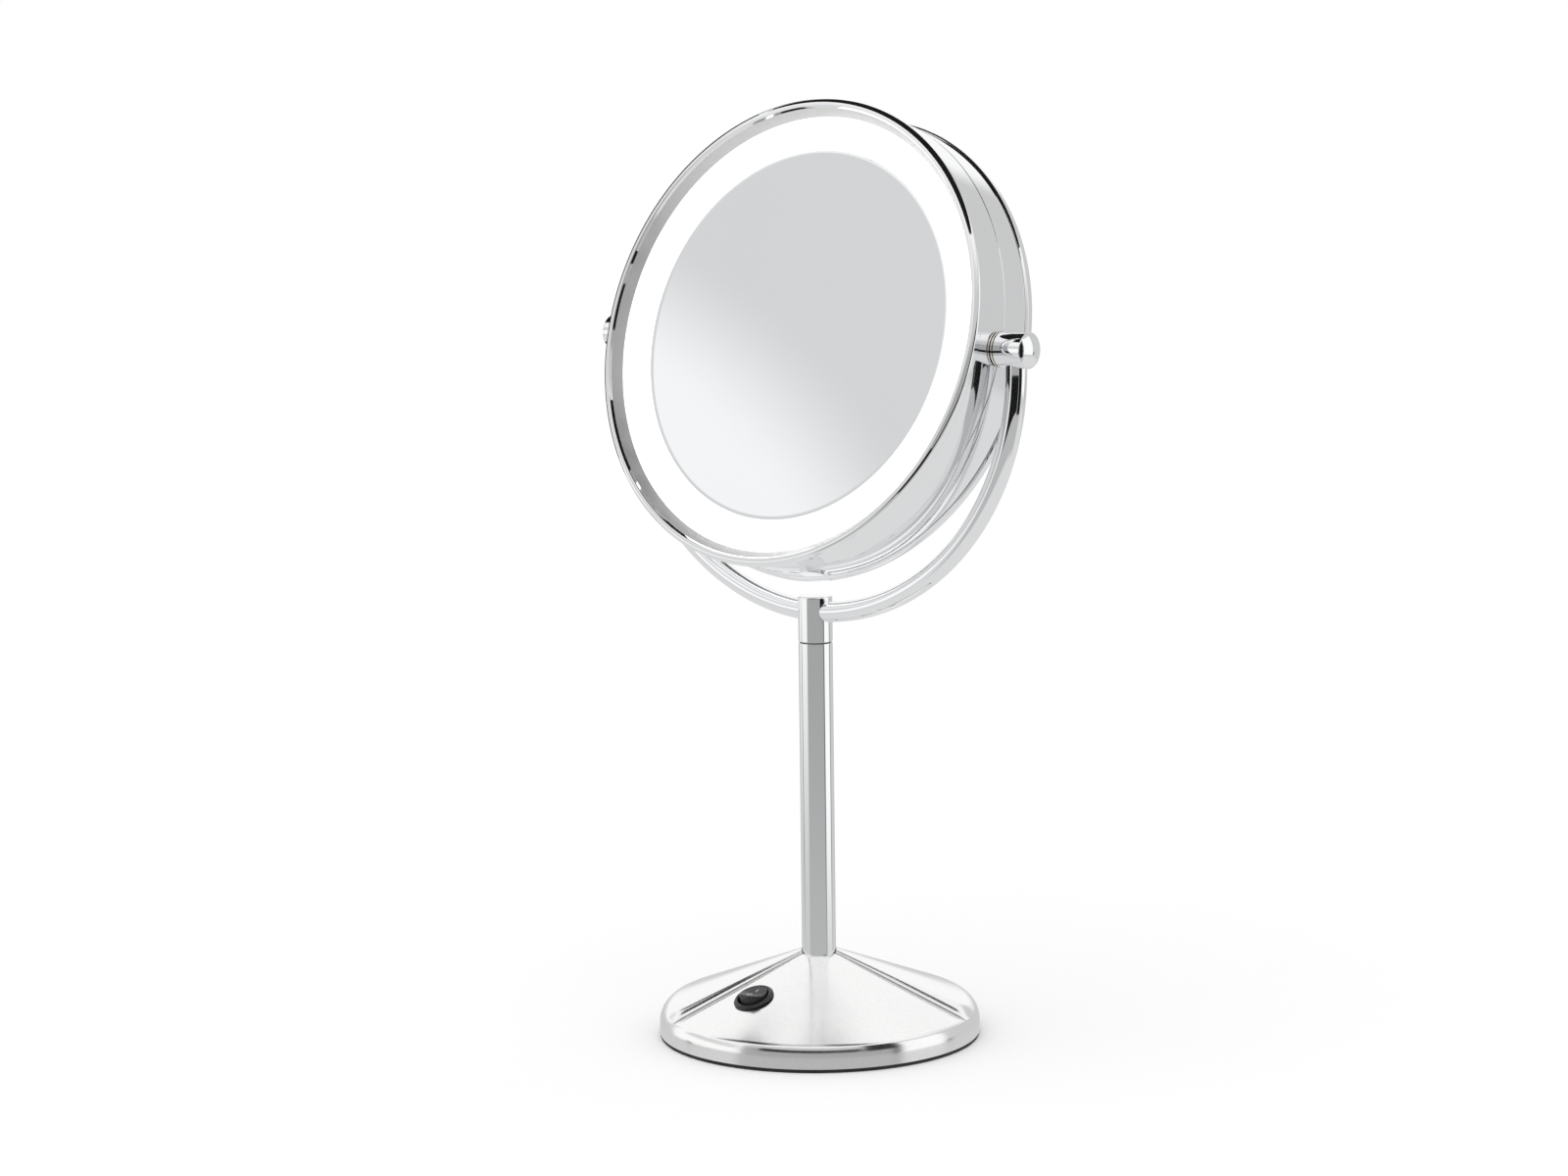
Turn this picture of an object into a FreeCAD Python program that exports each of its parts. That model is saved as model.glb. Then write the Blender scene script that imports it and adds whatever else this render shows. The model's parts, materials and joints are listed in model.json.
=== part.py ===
import FreeCAD, Part
import math
import os

# Lighted two-sided vanity mirror: a round head with a lit ring turns between the two pivots
# of a U-shaped tube, the tube swivels on a post, and the post stands on a round weighted base.
# Millimetres. +Z is up, the front of the base looks along -Y, and the origin is the centre of
# the underside of the base.

# ---- driving dimensions ----
base_radius = 70.0
foot_height = 1.3
cone_top = 40.2              # height where the wing cone would meet the post axis
cone_slope = 0.379
shoulder_radius = 10.85
shell_wall = 2.2
panel_top = 36.2             # height of the front panel where it meets the post
panel_slope = 0.428
panel_thickness = 2.0
panel_radius = 67.7
panel_half_angle = 69.0      # degrees each side of straight ahead
panel_gap = 0.3
rim_top = 11.2
post_radius = 7.45
post_bore = 6.0
hub_plate_low = 26.2
hub_plate_high = 29.0
swivel_height = 173.15
post_head_top = 193.3
pivot_height = 303.2
yoke_radius = 108.7          # centreline radius of the bent tube
yoke_drop = 8.0              # centre of the bend below the pivot axis
yoke_tube_radius = 4.5
yoke_tube_bore = 3.5
cap_radius = 7.55
cap_start = 101.95           # along the pivot axis from the middle of the head
cap_end = 115.5
cap_dome = 2.0
drum_radius = 100.5
drum_wall = 1.5
bezel_radius = 101.45
half_depth = 20.0
seam_half_gap = 0.1
mirror_radius = 80.4
ring_radius = 94.4           # outer visible edge of the lit ring
glass_thickness = 3.0
magnifier_curve = 700.0      # radius of the hollow of the magnifying glass
head_yaw = 39.85             # rest pose, degrees to the left of straight ahead
head_tilt = 16.23            # rest pose, degrees leaning back
switch_distance = 40.0       # from the post axis, along the slope's plan
switch_azimuth = 45.0
rocker_throw = 14.0          # degrees each side of level
stem_radius = 4.0            # swivel stem and trunnions
stem_low = 143.0
bush_low = 150.0
running_fit = 0.05
close_fit = 0.03

# ---- values worked out from them ----
panel_tilt = math.degrees(math.atan(panel_slope))
cone_angle = math.atan(cone_slope)
shell_foot = foot_height + 0.02
plate_top = 3.2
inner_radius = base_radius - shell_wall
post_bottom = hub_plate_high + 0.05
post_top = swivel_height - 0.25
head_bottom = swivel_height + 0.25
yoke_centre = pivot_height - yoke_drop
yoke_bottom = yoke_centre - yoke_radius

origin = FreeCAD.Vector(0, 0, 0)
axis_x = FreeCAD.Vector(1, 0, 0)
axis_y = FreeCAD.Vector(0, 1, 0)
axis_z = FreeCAD.Vector(0, 0, 1)
full_turn = 360.0


# ---- small helpers ----
def vec(x, y, z):
    return FreeCAD.Vector(x, y, z)


def cylinder(radius, low, high, x=0.0, y=0.0):
    return Part.makeCylinder(radius, high - low, vec(x, y, low), axis_z)


def cylinder_x(radius, start, end, y=0.0, z=0.0):
    return Part.makeCylinder(radius, end - start, vec(start, y, z), axis_x)


def cylinder_y(radius, start, end, x=0.0, z=0.0):
    return Part.makeCylinder(radius, end - start, vec(x, start, z), axis_y)


def ring(inner, outer, low, high):
    return cylinder(outer, low, high).cut(cylinder(inner, low - 1.0, high + 1.0))


def ring_x(inner, outer, start, end):
    return cylinder_x(outer, start, end).cut(cylinder_x(inner, start - 1.0, end + 1.0))


def box(low, high):
    return Part.makeBox(high[0] - low[0], high[1] - low[1], high[2] - low[2], vec(*low))


def turned(points):
    """A solid of revolution about Z from a closed outline of (radius, height) points."""
    corners = [vec(r, 0, z) for r, z in points]
    face = Part.Face(Part.makePolygon(corners + [corners[0]]))
    return face.revolve(origin, axis_z, full_turn)


def turned_edges(edges):
    face = Part.Face(Part.Wire(edges))
    return face.revolve(origin, axis_z, full_turn)


def line(a, b):
    return Part.LineSegment(vec(a[0], 0, a[1]), vec(b[0], 0, b[1])).toShape()


def arc(a, b, c):
    return Part.Arc(vec(a[0], 0, a[1]), vec(b[0], 0, b[1]), vec(c[0], 0, c[1])).toShape()


def joined(shapes):
    result = shapes[0]
    for shape in shapes[1:]:
        result = result.fuse(shape)
    return result.removeSplitter()


def moved(shape, offset):
    copy = shape.copy()
    copy.translate(offset)
    return copy


def spun(shape, angle, about=axis_z, centre=origin):
    copy = shape.copy()
    copy.rotate(centre, about, angle)
    return copy


def around(shape, count, start=0.0):
    return [spun(shape, start + full_turn * k / count) for k in range(count)]


def hexagon(across_flats, low, high, bore):
    corner = across_flats / math.sqrt(3.0)
    corners = []
    for k in range(6):
        angle = math.radians(60.0 * k)
        corners.append(vec(corner * math.cos(angle), corner * math.sin(angle), low))
    face = Part.Face(Part.makePolygon(corners + [corners[0]]))
    return face.extrude(vec(0, 0, high - low)).cut(cylinder(bore, low - 1.0, high + 1.0))


def pipe(edges, radius):
    """A round wire or lead along a path of lines and tangent arcs."""
    path = Part.Wire(edges)
    start = path.Edges[0].valueAt(path.Edges[0].FirstParameter)
    heading = path.Edges[0].tangentAt(path.Edges[0].FirstParameter)
    section = Part.Wire(Part.makeCircle(radius, start, heading))
    return path.makePipeShell([section], True, True)


def rounded_path(points, radius):
    """Straight runs through the points, with a tangent arc at each corner."""
    corners = [vec(*p) for p in points]
    edges = []
    here = corners[0]
    for before, corner, after in zip(corners, corners[1:], corners[2:]):
        towards = (before - corner).normalize()
        onwards = (after - corner).normalize()
        half = math.acos(max(-1.0, min(1.0, towards.dot(onwards)))) / 2.0
        reach = radius / math.tan(half)
        first = corner + towards * reach
        last = corner + onwards * reach
        inward = (towards + onwards).normalize()
        middle = corner + inward * (radius / math.sin(half) - radius)
        edges.append(Part.LineSegment(here, first).toShape())
        edges.append(Part.Arc(first, middle, last).toShape())
        here = last
    edges.append(Part.LineSegment(here, corners[-1]).toShape())
    return edges


def wedge(half_angle, low, high, reach=90.0):
    """A slice of a disc, centred on straight ahead (-Y)."""
    corners = [vec(0, 0, low)]
    steps = 4
    for k in range(steps + 1):
        angle = math.radians(-half_angle + 2.0 * half_angle * k / steps)
        corners.append(vec(reach * math.sin(angle), -reach * math.cos(angle), low))
    face = Part.Face(Part.makePolygon(corners + [corners[0]]))
    return face.extrude(vec(0, 0, high - low))


def on_yoke(shape):
    """From the yoke's own frame (pivots along X) to the rest pose."""
    return spun(shape, -head_yaw)


def on_head(shape):
    """From the head's own frame (pivots along X, lit magnifying face along +Z) to the rest pose."""
    tilted = spun(shape, 90.0 - head_tilt, axis_x)
    return moved(spun(tilted, -head_yaw), vec(0, 0, pivot_height))


def on_switch(shape):
    """From the switch's own frame (Z out of the panel, X along the rim) to its place."""
    surface = panel_height(switch_distance)
    tilted = moved(spun(shape, panel_tilt, axis_x), vec(0, -switch_distance, surface))
    return spun(tilted, -switch_azimuth)


def both_sides(shape):
    return [shape, spun(shape, 180.0)]


pieces = {}


def keep(name, shape):
    pieces[name] = shape


def keep_group(name, shapes):
    pieces[name] = Part.makeCompound(shapes)


# ---- base ----
def panel_height(radius):
    return panel_top - panel_slope * (radius - post_radius)


def cone_height(radius):
    return cone_top - cone_slope * radius


def dome(inset, low, drop=0.0):
    """The base's outer shape, or that shape pulled in by inset: cone, rounded shoulder, wall."""
    shoulder = shoulder_radius - inset
    centre_r = base_radius - shoulder_radius
    centre_z = cone_height(centre_r) - shoulder_radius / math.cos(cone_angle)
    def at(angle):
        return centre_r + shoulder * math.sin(angle), centre_z + shoulder * math.cos(angle) - drop
    apex = cone_top - inset / math.cos(cone_angle) - drop
    start = at(cone_angle)
    middle = at((cone_angle + math.pi / 2.0) / 2.0)
    end = at(math.pi / 2.0)
    outline = [line((0, low), (0, apex)), line((0, apex), start), arc(start, middle, end)]
    outline += [line(end, (end[0], low)), line((end[0], low), (0, low))]
    return turned_edges(outline)


def under_panel(depth, radius, low):
    """Everything below the panel's top surface lowered by depth."""
    top = panel_top + panel_slope * post_radius - depth
    return turned([(0, low), (0, top), (radius, top - panel_slope * radius), (radius, low)])


seat_depth = panel_thickness + 0.05
seat_wall = 1.6
switch_body_radius = 8.1
boss_distance = 64.0
boss_radius = 4.0
hub_screw_distance = 12.0
hub_screw_angles = (0.0, 90.0, 180.0)
base_screw_count = 4
base_screw_start = 45.0      # degrees, so the screws miss the switch panel's middle
bay_half_width = 28.5
bay_front = -9.8
bay_back = 38.6
bay_roof = 18.8
bay_wall = 1.1
ballast_top = 8.8


def base_shell():
    hollow = dome(shell_wall, -1.0).cut(wedge(panel_half_angle + 1.4, -2.0, 60.0))
    hollow = hollow.fuse(under_panel(seat_depth + seat_wall, inner_radius, -1.0))
    pocket = wedge(panel_half_angle, 0.0, 60.0)
    above_seat = pocket.common(cylinder(panel_radius + 0.5, 0.0, 60.0))
    above_seat = above_seat.cut(under_panel(seat_depth, 90.0, -5.0))
    above_rim = pocket.common(cylinder(90.0, rim_top, 60.0))
    shell = dome(0.0, shell_foot).cut(hollow).cut(above_seat).cut(above_rim)
    boss = cylinder(boss_radius, plate_top + 0.05, 8.0, boss_distance)
    boss = boss.common(cylinder(base_radius - 1.0, 0.0, 20.0))
    shell = joined([shell] + around(boss, base_screw_count, base_screw_start))
    hub_boss = cylinder(3.0, hub_plate_high + 0.05, 34.2, hub_screw_distance)
    shell = joined([shell] + [spun(hub_boss, a) for a in hub_screw_angles])
    holes = around(cylinder(1.5, 0.0, 7.0, boss_distance), base_screw_count, base_screw_start)
    holes += [spun(cylinder(1.45, 20.0, 33.2, hub_screw_distance), a) for a in hub_screw_angles]
    holes.append(cylinder(post_radius + panel_gap, 0.0, 60.0))
    holes.append(on_switch(cylinder(switch_body_radius + 0.15, -12.0, 6.0)))
    for hole in holes:
        shell = shell.cut(hole)
    return shell


def front_panel():
    disc = under_panel(0.0, panel_radius, 0.0).cut(under_panel(panel_thickness, 90.0, -5.0))
    slice_angle = panel_half_angle - 0.35
    panel = disc.common(wedge(slice_angle, 0.0, 60.0))
    panel = panel.cut(cylinder(post_radius + panel_gap, 0.0, 60.0))
    return panel.cut(on_switch(cylinder(switch_body_radius + 0.1, -6.0, 6.0)))


door_half_width = 29.0
door_low = 1.4
door_high = 2.9
door_back = 38.4
hinge_y = -12.3
hinge_z = 2.2
hinge_pin_radius = 0.4
barrel_radius = 0.85
barrel_distance = 13.0
barrel_length = 10.0
door_opening_front = -14.3
door_gap = 0.4
lug_distance = 21.5
lug_half_width = 2.5


def foot_ring():
    profile = [(60.0, 0.3), (60.3, 0.0), (69.4, 0.0), (69.8, 0.4), (69.8, foot_height)]
    return turned(profile + [(60.0, foot_height)])


def base_plate():
    plate = cylinder(inner_radius - 0.2, shell_foot, plate_top)
    opening_side = door_half_width + door_gap
    opening = box((-opening_side, door_opening_front, 0), (opening_side, door_back + door_gap, 9))
    plate = plate.cut(opening)
    for side in (-1.0, 1.0):
        lug = box((side * lug_distance - lug_half_width, door_opening_front - 0.5, shell_foot),
                  (side * lug_distance + lug_half_width, hinge_y + 1.0, plate_top))
        plate = plate.fuse(lug)
    plate = plate.cut(cylinder_x(hinge_pin_radius + 0.01, -25.0, 25.0, hinge_y, hinge_z))
    hole = cylinder(1.6, 0.0, 5.0, boss_distance).fuse(cylinder(2.8, 0.0, 2.3, boss_distance))
    for cutter in around(hole, base_screw_count, base_screw_start):
        plate = plate.cut(cutter)
    return plate


def battery_door():
    door = box((-door_half_width, hinge_y + 1.4, door_low), (door_half_width, door_back, door_high))
    for side in (-1.0, 1.0):
        start = side * barrel_distance - barrel_length / 2.0
        barrel = cylinder_x(barrel_radius, start, start + barrel_length, hinge_y, hinge_z)
        web = box((start, hinge_y, door_low), (start + barrel_length, hinge_y + 2.0, hinge_z + 0.5))
        door = door.fuse(barrel).fuse(web)
    grip = box((-8.0, door_back - 6.0, 0.0), (8.0, door_back - 3.0, door_low + 0.5))
    door = door.cut(grip)
    pin_hole = cylinder_x(hinge_pin_radius + running_fit, -30.0, 30.0, hinge_y, hinge_z)
    return door.cut(pin_hole).removeSplitter()


def door_hinge_pin():
    return cylinder_x(hinge_pin_radius, -23.8, 23.8, hinge_y, hinge_z)


def base_screws():
    screw = cylinder(1.45, 2.35, 6.8, boss_distance)
    head = cylinder(2.6, foot_height + 0.05, 2.25, boss_distance)
    screw = screw.fuse(cylinder(1.45, 2.2, 2.4, boss_distance)).fuse(head)
    return around(screw.removeSplitter(), base_screw_count, base_screw_start)


def ballast_weight():
    weight = ring(17.0, 59.5, plate_top + 0.1, ballast_top)
    bay = box((-bay_half_width - 1.5, bay_front - 1.5, 0), (bay_half_width + 1.5, bay_back + 1.5, 20))
    weight = weight.cut(bay)
    hollow = spun(cylinder(13.5, 0.0, 20.0, 0.0, -switch_distance + 6.0), -switch_azimuth)
    weight = weight.cut(hollow)
    biggest = max(weight.Solids, key=lambda solid: solid.Volume)
    return biggest


def battery_bay():
    outer = box((-bay_half_width, bay_front, plate_top + 0.05), (bay_half_width, bay_back, bay_roof))
    inner = box((-bay_half_width + bay_wall, bay_front + bay_wall, 0),
                (bay_half_width - bay_wall, bay_back - bay_wall, bay_roof - 0.9))
    return outer.cut(inner)


cell_radius = 7.15
cell_pitch = 14.9
cell_height = 10.65
cell_rows = [-0.5 + cell_pitch * k for k in range(3)]


def battery_cells():
    cells = []
    for k, y in enumerate(cell_rows):
        body = cylinder_x(cell_radius, -24.6, 24.2, y, cell_height)
        shoulder = body.makeFillet(0.8, body.Edges[0:1])
        nub = cylinder_x(2.7, 24.0, 25.6, y, cell_height)
        cell = shoulder.fuse(nub).removeSplitter()
        if k % 2 == 1:
            cell = spun(cell, 180.0, axis_z, vec(0, y, 0))
        cells.append(cell)
    return cells


def battery_contacts():
    wall = bay_half_width - bay_wall
    contacts = []
    for y in cell_rows:
        for side in (-1.0, 1.0):
            plate = box((wall - 0.55, y - 4.5, 5.0), (wall - 0.05, y + 4.5, 16.0))
            bump = cylinder_x(2.0, 25.7, wall - 0.3, y, cell_height)
            contact = plate.fuse(bump).removeSplitter()
            if side < 0:
                contact = spun(contact, 180.0, axis_z, vec(0, y, 0))
            contacts.append(contact)
    return contacts


def hub_plate():
    plate = ring(5.15, 14.8, hub_plate_low, hub_plate_high)
    for angle in hub_screw_angles:
        plate = plate.cut(spun(cylinder(1.5, 20.0, 30.0, hub_screw_distance), angle))
    return plate


def hub_screws():
    shank = cylinder(1.4, hub_plate_low - 0.1, hub_plate_high + 4.0, hub_screw_distance)
    head = cylinder(2.6, hub_plate_low - 1.5, hub_plate_low - 0.05, hub_screw_distance)
    screw = shank.fuse(head).removeSplitter()
    return [spun(screw, angle) for angle in hub_screw_angles]


stud_radius = 5.0
stud_low = 21.5
lead_radius = 1.0
lead_bore = 1.8


def post_plug():
    stud = cylinder(stud_radius, stud_low, post_bottom + 0.5)
    plug = cylinder(post_bore - close_fit, post_bottom, 45.0).fuse(stud)
    return plug.cut(cylinder(lead_bore, 10.0, 60.0)).removeSplitter()


def post_tube():
    return ring(post_bore, post_radius, post_bottom, post_top)


switch_bore = 7.0
flange_radius = 8.9
flange_height = 1.5
rocker_pivot = -0.6
rocker_radius = 6.1
rocker_end_radius = 7.0      # the button's two ends are rounded about its pivot
rocker_middle = 2.3          # height of the valley between the two halves
rocker_slope = 12.0          # degrees, each half rises from the valley
rocker_foot = -3.4


def along_rocker(shape):
    """Turned so that the button rocks towards the post and away from it."""
    return on_switch(spun(shape, 90.0))


def switch_housing():
    body = ring(switch_bore, switch_body_radius, -10.1, 0.6)
    body = body.fuse(cylinder(switch_body_radius, -12.0, -10.0))
    knee = (flange_radius, 0.6)
    shoulder = (8.0, flange_height)
    edges = [line((switch_bore, 0.05), (flange_radius, 0.05)), line((flange_radius, 0.05), knee),
             arc(knee, (8.6, 1.25), shoulder), line(shoulder, (switch_bore, flange_height - 0.2)),
             line((switch_bore, flange_height - 0.2), (switch_bore, 0.05))]
    housing = body.fuse(turned_edges(edges)).removeSplitter()
    for start in (-7.6, 6.5):
        housing = housing.cut(cylinder_y(0.95, start, start + 1.1, 0.0, rocker_pivot))
    return along_rocker(housing)


def rocker():
    reach = 9.0
    high = rocker_middle + reach * math.tan(math.radians(rocker_slope))
    outline = [(-reach, rocker_foot), (reach, rocker_foot), (reach, high), (0, rocker_middle), (-reach, high)]
    corners = [vec(x, -reach, z) for x, z in outline]
    prism = Part.Face(Part.makePolygon(corners + [corners[0]])).extrude(vec(0, 2.0 * reach, 0))
    button = prism.common(cylinder(rocker_radius, rocker_foot, 6.0))
    button = button.common(cylinder_y(rocker_end_radius, -reach, reach, 0.0, rocker_pivot))
    button = button.fuse(cylinder_y(0.9, -7.4, 7.4, 0.0, rocker_pivot)).removeSplitter()
    return along_rocker(spun(button, rocker_throw, axis_y, vec(0, 0, rocker_pivot)))


def switch_terminals():
    blades = []
    for side in (-1.0, 1.0):
        blades.append(on_switch(box((side * 3.5 - 0.4, -2.4, -17.0), (side * 3.5 + 0.4, 2.4, -12.05))))
    return blades


def driver_board():
    board = box((24.0, -38.0, 11.0), (44.0, -22.0, 12.4))
    chip = box((30.0, -33.0, 12.45), (36.0, -27.0, 13.6))
    coil = cylinder(2.4, 12.45, 13.4, 39.5, -25.5)
    posts = [cylinder(1.6, ballast_top + 0.05, 10.95, x, y) for x, y in ((26.0, -36.0), (42.0, -24.0))]
    return [board, chip, coil] + posts


def base_lead():
    """One jacketed lead from the driver board, over the battery bay and up the bore of the post."""
    run = bay_roof + 1.35
    route = [(34.0, -21.9, 11.7), (34.0, -14.0, 11.7), (20.0, -14.0, 17.0), (6.0, -13.0, run),
             (0, -6.0, run), (0, 0, run), (0, 0, stem_low - 2.0)]
    return pipe(rounded_path(route, 1.9), 0.9)


def stand_pieces():
    keep("foot_ring", foot_ring())
    keep("base_plate", base_plate())
    keep("base_shell", base_shell())
    keep("front_panel", front_panel())
    keep("ballast_weight", ballast_weight())
    keep("battery_bay", battery_bay())
    keep_group("battery_cells", battery_cells())
    keep_group("battery_contacts", battery_contacts())
    keep("battery_door", battery_door())
    keep("door_hinge_pin", door_hinge_pin())
    keep_group("base_screws", base_screws())
    keep("hub_plate", hub_plate())
    keep_group("hub_screws", hub_screws())
    keep("post_washer", ring(5.1, 9.0, hub_plate_low - 1.55, hub_plate_low - 0.05))
    keep("post_nut", hexagon(15.0, stud_low + 0.1, hub_plate_low - 1.6, stud_radius + 0.02))
    keep("post_plug", post_plug())
    keep("post_tube", post_tube())
    keep("switch_housing", switch_housing())
    keep("rocker", rocker())
    keep_group("switch_terminals", switch_terminals())
    keep_group("driver_board", driver_board())
    keep("base_lead", base_lead())


# ---- swivel and yoke ----


def half_torus(radius):
    """The bent part of the tube, in the XZ plane, open upwards."""
    centre = vec(0, 0, yoke_centre)
    whole = Part.makeTorus(yoke_radius, radius, centre, axis_y)
    reach = yoke_radius + 20.0
    return whole.common(box((-reach, -20, yoke_centre - reach), (reach, 20, yoke_centre)))


tube_top = pivot_height - 5.1
bush_end = 107.0
collar_length = 0.65         # plain chrome collar between the drum and the brass washer


def yoke_bar(radius):
    legs = [cylinder(radius, yoke_centre, tube_top, side * yoke_radius) for side in (-1.0, 1.0)]
    return joined([half_torus(radius)] + legs)


def yoke_tube():
    tube = yoke_bar(yoke_tube_radius).cut(yoke_bar(yoke_tube_bore))
    return on_yoke(tube.cut(cylinder(lead_bore, yoke_bottom - 8.0, yoke_bottom)))


def post_head():
    crown = 0.9
    outline = [(0, head_bottom), (post_radius, head_bottom), (post_radius, post_head_top - crown),
               (post_radius - 0.25, post_head_top - 0.3), (post_radius - crown, post_head_top),
               (0, post_head_top)]
    head = turned(outline).cut(half_torus(yoke_tube_radius + close_fit))
    head = head.cut(cylinder(stem_radius + close_fit, head_bottom - 1.0, 179.0))
    head = head.cut(cylinder(lead_bore, 170.0, yoke_bottom))
    head = head.cut(cylinder_y(1.52, 3.0, 12.0, 0.0, yoke_bottom))
    return on_yoke(head)


def swivel_stem():
    stem = cylinder(stem_radius, stem_low, 178.9)
    return stem.cut(cylinder(lead_bore, 100.0, 200.0))


def pivot_cap():
    """The barrel on the right-hand arm, with the bush bore and the socket for the tube."""
    start = line((0, cap_start), (cap_radius - 0.4, cap_start))
    bevel = line((cap_radius - 0.4, cap_start), (cap_radius, cap_start + 0.4))
    side = line((cap_radius, cap_start + 0.4), (cap_radius, cap_end - 0.3))
    end_bevel = line((cap_radius, cap_end - 0.3), (cap_radius - 0.3, cap_end))
    end = line((cap_radius - 0.3, cap_end), (0, cap_end))
    barrel = turned_edges([start, bevel, side, end_bevel, end, line((0, cap_end), (0, cap_start))])
    barrel = spun(barrel, 90.0, axis_y)
    barrel = moved(barrel, vec(0, 0, pivot_height))
    barrel = barrel.cut(cylinder_x(5.03, cap_start - 1.0, bush_end + 0.1, 0.0, pivot_height))
    barrel = barrel.cut(cylinder_x(3.2, bush_end - 0.5, 113.0, 0.0, pivot_height))
    barrel = barrel.cut(cylinder_x(plug_radius + 0.02, 112.5, 120.0, 0.0, pivot_height))
    barrel = barrel.cut(cylinder(yoke_tube_radius + close_fit, 280.0, tube_top + 0.02, yoke_radius))
    return barrel.cut(cylinder(lead_bore, 280.0, pivot_height, yoke_radius))


plug_start = 113.1
plug_radius = 4.5


def cap_button():
    """The shallow domed cover that closes the outer end of a barrel."""
    edge = cap_radius - 0.35
    seat = cap_end + 0.05
    rise = cap_end + cap_dome - seat
    curve = (edge ** 2 + rise ** 2) / (2.0 * rise)
    half = math.asin(edge / curve) / 2.0
    middle = (curve * math.sin(half), seat + rise - curve * (1.0 - math.cos(half)))
    top = seat + rise
    corners = [(0, top), (0, plug_start), (plug_radius, plug_start), (plug_radius, seat), (edge, seat)]
    dome_edges = [arc((edge, seat), middle, (0, top))]
    dome_edges += [line(a, b) for a, b in zip(corners, corners[1:])]
    return moved(spun(turned_edges(dome_edges), 90.0, axis_y), vec(0, 0, pivot_height))


def yoke_lead():
    bend = 3.4
    turn = math.asin((bend + 0.2) / yoke_radius)
    def on_bend(angle):
        return vec(yoke_radius * math.sin(angle), 0, yoke_centre - yoke_radius * math.cos(angle))
    level = on_bend(turn).z
    up = Part.LineSegment(vec(0, 0, stem_low + 2.0), vec(0, 0, level - bend)).toShape()
    share = math.sin(math.pi / 4.0)
    corner = vec(bend * (1.0 - share), 0, level - bend + bend * share)
    first = Part.Arc(vec(0, 0, level - bend), corner, vec(bend, 0, level)).toShape()
    short = Part.LineSegment(vec(bend, 0, level), on_bend(turn)).toShape()
    middle = on_bend((turn + math.pi / 2.0) / 2.0)
    sweep = Part.Arc(on_bend(turn), middle, on_bend(math.pi / 2.0)).toShape()
    top = Part.LineSegment(on_bend(math.pi / 2.0), vec(yoke_radius, 0, pivot_height - 1.5)).toShape()
    lower = pipe([up, first], lead_radius)
    upper = pipe([sweep, top], lead_radius)
    joint = pipe([short], lead_radius)
    return on_yoke(joined([lower, joint, upper]))


def yoke_pieces():
    keep("swivel_bush", ring(stem_radius + running_fit, post_bore - close_fit, bush_low, post_top - 0.1))
    keep("swivel_washer", ring(stem_radius + 0.3, post_radius - 0.5, post_top + 0.03, head_bottom - 0.02))
    keep("swivel_stem", swivel_stem())
    keep("stem_spring_washer", ring(stem_radius + 0.1, 5.6, bush_low - 2.6, bush_low - 0.05))
    keep("stem_nut", hexagon(9.4, bush_low - 6.2, bush_low - 2.65, stem_radius + 0.02))
    keep("post_head", post_head())
    keep("yoke_tube", yoke_tube())
    keep("yoke_set_screw", on_yoke(cylinder_y(1.5, 4.6, 7.2, 0.0, yoke_bottom)))
    cap = pivot_cap()
    keep("pivot_cap_right", on_yoke(cap))
    keep("pivot_cap_left", on_yoke(spun(cap, 180.0)))
    keep_group("cap_buttons", [on_yoke(s) for s in both_sides(cap_button())])
    up = vec(0, 0, pivot_height)
    bush = moved(ring_x(stem_radius + running_fit, 5.0, cap_start + 0.1, bush_end), up)
    keep_group("pivot_bushes", [on_yoke(s) for s in both_sides(bush)])
    collar_start = drum_radius + 0.3
    collar_end = collar_start + collar_length
    collar = moved(ring_x(stem_radius + 0.3, cap_radius - 0.1, collar_start, collar_end), up)
    keep_group("pivot_collars", [on_yoke(s) for s in both_sides(collar)])
    washer = moved(ring_x(stem_radius + 0.3, cap_radius, collar_end, cap_start), up)
    keep_group("brass_washers", [on_yoke(s) for s in both_sides(washer)])
    keep("yoke_lead", yoke_lead())


# ---- head, built with its lit magnifying face along +Z ----
shell_top = 15.0
flange_low = 11.6
flange_high = 13.0
tray_floor = 3.0
tray_plate = 1.2
tray_radius = 95.6
tray_wall = 1.4
frame_radius = 95.7
frame_half = 2.8
ring_edge_height = 14.1      # where the lit ring meets the bezel
mirror_edge_height = 12.45   # where the magnifying glass meets the lit ring
flat_mirror_height = 14.0
screw_circle = 75.0
tray_screw_count = 6
tray_screw_start = 30.0
led_count = 36
tail_radius = 2.2
journal_end = 107.0
pad_inner = 66.0
pad_outer = 71.5
led_ring_inner = 83.2
led_ring_outer = 93.2


def flipped(shape):
    return spun(shape, 180.0, axis_x)


def drum_shell():
    wall = drum_radius - drum_wall
    chamfer = 0.3
    outline = [(wall, seam_half_gap), (drum_radius - chamfer, seam_half_gap),
               (drum_radius, seam_half_gap + chamfer), (drum_radius, shell_top), (wall, shell_top),
               (wall, flange_high), (96.2, flange_high), (96.2, flange_low), (wall, flange_low)]
    shell = turned(outline)
    for hole in both_sides(cylinder_x(stem_radius + 0.35, 90.0, 110.0)):
        shell = shell.cut(hole)
    return shell


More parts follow.
